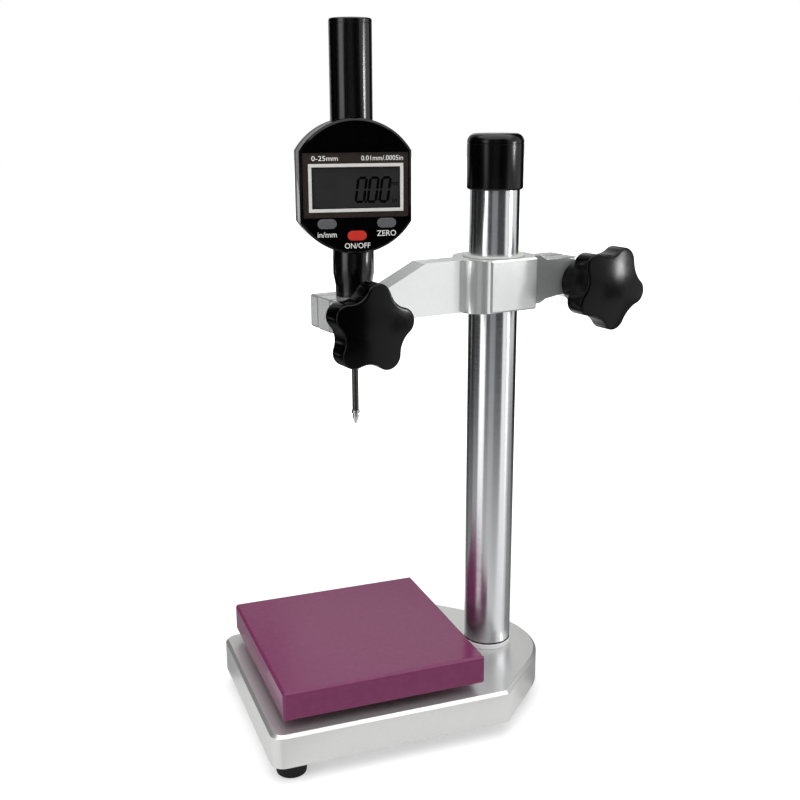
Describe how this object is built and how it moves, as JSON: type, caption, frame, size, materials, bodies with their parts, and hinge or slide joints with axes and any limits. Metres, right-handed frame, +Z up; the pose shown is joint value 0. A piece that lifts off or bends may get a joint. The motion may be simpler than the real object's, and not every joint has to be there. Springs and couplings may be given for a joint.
{
  "type": "comparator stand",
  "caption": "Bench comparator stand: a digital plunger indicator on a clamped swinging arm that slides on a chromed column, over a flat plum work plate on an aluminium base.",
  "frame": {"origin": "centre of the work plate's flat top face", "axes": "+Z up from the work plate, +X towards the column, -Y the front, where the display looks"},
  "size_m": [0.1998, 0.1076, 0.3355],
  "materials": {
    "base_aluminium": "fine satin anodised, with a bright chamfer",
    "foot_rubber": "moulded, matt",
    "screw_steel": "plain turned and pressed steel",
    "plum_glaze": "glossy plum surface, ground flat",
    "brass": "turned",
    "column_chrome": "hard chromed and ground",
    "collar_white": "white ring, smooth",
    "cap_plastic": "smooth black moulding",
    "bush_plastic": "natural acetal, turned",
    "arm_aluminium": "satin silver with bright edges",
    "knob_plastic": "smooth black moulding",
    "case_plastic": "smooth black moulding",
    "panel_plastic": "brown-black printed sheet",
    "frame_metal": "bright frame",
    "lcd_glass": "dark grey reflective display",
    "inner_plastic": "moulded inner pieces",
    "board_green": "glass-fibre board with green resist",
    "contact_brass": "pressed contact sheet",
    "battery_steel": "nickelled coin cell",
    "stem_steel": "hardened and ground",
    "button_grey": "grey keys",
    "button_red": "red key"
  },
  "bodies": {
    "stand": {"base_plate": "base_aluminium", "rubber_feet": "foot_rubber", "foot_screws": "screw_steel", "plate_spacers": "screw_steel", "work_plate": "plum_glaze", "plate_inserts": "brass", "plate_screws": "screw_steel", "column": "column_chrome", "column_collar": "collar_white", "collar_seal": "foot_rubber", "column_bolt": "screw_steel", "column_washer": "screw_steel", "column_cap": "cap_plastic"},
    "column_bush": {"column_bush": "bush_plastic"},
    "arm": {"arm": "arm_aluminium", "stem_holder": "arm_aluminium", "fork_nut": "screw_steel", "tail_nut": "screw_steel"},
    "tail_washer": {"tail_washer": "screw_steel"},
    "column_knob": {"column_knob": "knob_plastic", "column_stud": "screw_steel"},
    "fork_washer": {"fork_washer": "screw_steel"},
    "indicator_knob": {"indicator_knob": "knob_plastic", "indicator_stud": "screw_steel"},
    "indicator": {"front_case": "case_plastic", "rear_case": "case_plastic", "case_screws": "screw_steel", "display_panel": "panel_plastic", "display_frame": "frame_metal", "display_glass": "lcd_glass", "display_carrier": "inner_plastic", "main_board": "board_green", "sensor_strip": "contact_brass", "battery": "battery_steel", "battery_clip": "contact_brass", "battery_cover": "case_plastic", "top_tube": "case_plastic", "tube_cap": "case_plastic", "neck": "case_plastic", "stem": "stem_steel", "lower_bush": "brass", "upper_bush": "brass", "guide_rod": "stem_steel", "return_spring": "stem_steel"},
    "unit_button": {"unit_button": "button_grey"},
    "power_button": {"power_button": "button_red"},
    "zero_button": {"zero_button": "button_grey"},
    "spindle": {"spindle": "stem_steel", "spring_seat": "brass", "slider_block": "inner_plastic", "contact_point": "stem_steel"}
  },
  "joints": [
    {"name": "arm_lift", "type": "slide", "parent": "stand", "child": "column_bush", "axis": [0, 0, 1], "range_m": [-0.11, 0.03]},
    {"name": "arm_swing", "type": "hinge", "parent": "column_bush", "child": "arm", "pos_m": [0.074, 0, 0.16], "axis": [0, 0, 1], "continuous": true},
    {"name": "column_knob_shift", "type": "slide", "parent": "arm", "child": "tail_washer", "axis": [0.1736, -0.9848, 0], "range_m": [0, 0.00125]},
    {"name": "column_knob_turn", "type": "hinge", "parent": "tail_washer", "child": "column_knob", "pos_m": [0.11866, -0.00279, 0.1705], "axis": [0.1736, -0.9848, 0], "range_deg": [0, 360]},
    {"name": "indicator_knob_shift", "type": "slide", "parent": "arm", "child": "fork_washer", "axis": [0.1736, -0.9848, 0], "range_m": [0, 0.001]},
    {"name": "indicator_knob_turn", "type": "hinge", "parent": "fork_washer", "child": "indicator_knob", "pos_m": [-0.00777, -0.02863, 0.163], "axis": [0.1736, -0.9848, 0], "range_deg": [0, 360]},
    {"name": "indicator_turn", "type": "hinge", "parent": "arm", "child": "indicator", "pos_m": [-0.00183, -0.01337, 0.165], "axis": [0, 0, 1], "continuous": true},
    {"name": "unit_press", "type": "slide", "parent": "indicator", "child": "unit_button", "axis": [0.1392, 0.9903, 0], "range_m": [0, 0.0007], "stiffness_N_per_m": 600, "springref_m": -0.0005},
    {"name": "power_press", "type": "slide", "parent": "indicator", "child": "power_button", "axis": [0.1392, 0.9903, 0], "range_m": [0, 0.0007], "stiffness_N_per_m": 600, "springref_m": -0.0005},
    {"name": "zero_press", "type": "slide", "parent": "indicator", "child": "zero_button", "axis": [0.1392, 0.9903, 0], "range_m": [0, 0.0007], "stiffness_N_per_m": 600, "springref_m": -0.0005},
    {"name": "spindle_travel", "type": "slide", "parent": "indicator", "child": "spindle", "axis": [0, 0, 1], "range_m": [0, 0.025], "stiffness_N_per_m": 20, "springref_m": -0.03, "deforming": ["return_spring"]}
  ],
  "couplings": [
    {"joint": "column_knob_shift", "follows": "column_knob_turn", "m_per_rad": 0.00019894},
    {"joint": "indicator_knob_shift", "follows": "indicator_knob_turn", "m_per_rad": 0.00015915}
  ]
}
